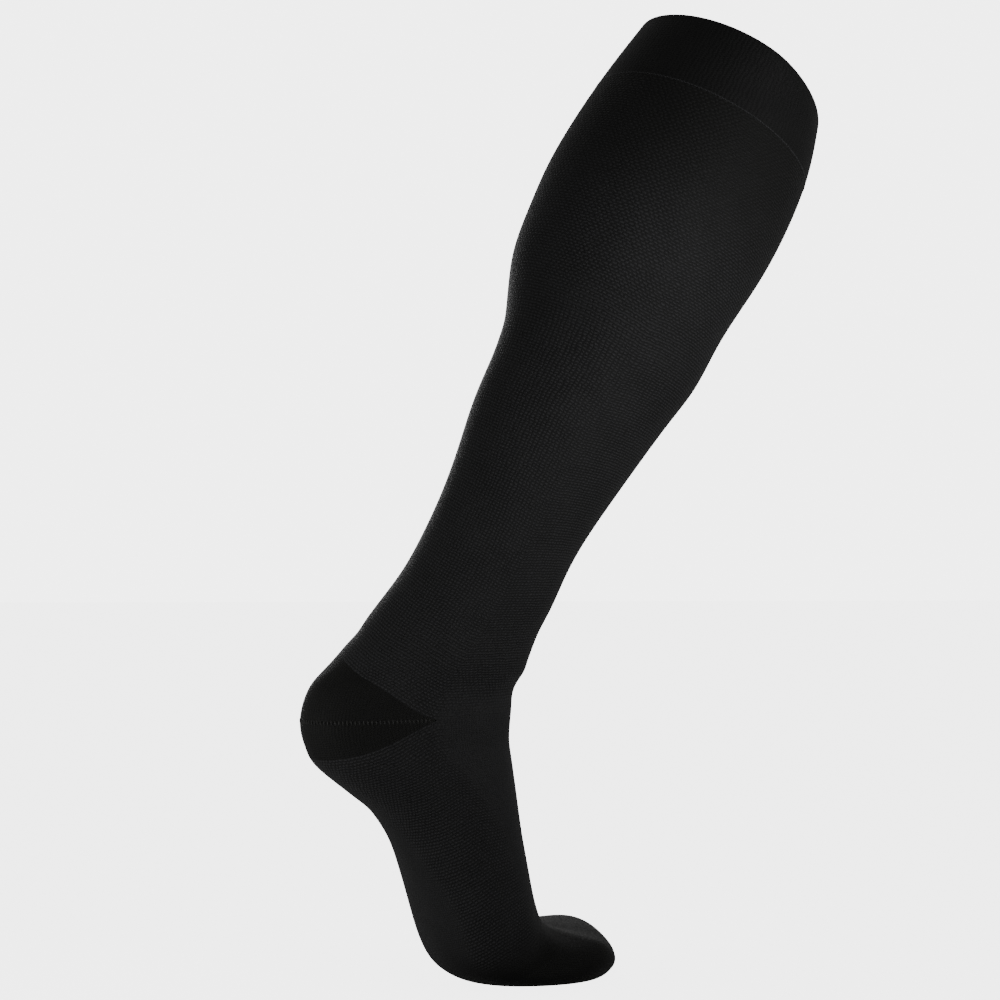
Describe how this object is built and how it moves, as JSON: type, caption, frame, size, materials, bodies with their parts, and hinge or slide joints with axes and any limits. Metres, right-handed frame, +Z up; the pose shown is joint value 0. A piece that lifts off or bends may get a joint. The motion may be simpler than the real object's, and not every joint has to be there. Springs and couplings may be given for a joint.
{
  "type": "compression stocking",
  "caption": "Knee-high closed-toe knitted compression stocking for a right foot, filled out and standing on its toes, with welt band, heel pocket and toe pocket.",
  "frame": {"origin": "centre of the top opening, in the plane of the band's folded edge, where the wearer's leg holds the stocking", "axes": "+X towards the toes, +Z up, -Y the outer (little-toe) side; the foot stands on the toes on a level floor at z = -0.466"},
  "size_m": [0.279, 0.1236, 0.4965],
  "materials": {
    "welt_knit": "matt black doubled elastic knit",
    "leg_knit": "black nubbed micro-mesh knit with a soft sheen",
    "pocket_knit": "black dense plain knit, nearly matt"
  },
  "bodies": {
    "root": {"band": "welt_knit", "leg": "leg_knit", "heel": "pocket_knit", "foot": "leg_knit", "toe": "pocket_knit"}
  },
  "joints": []
}
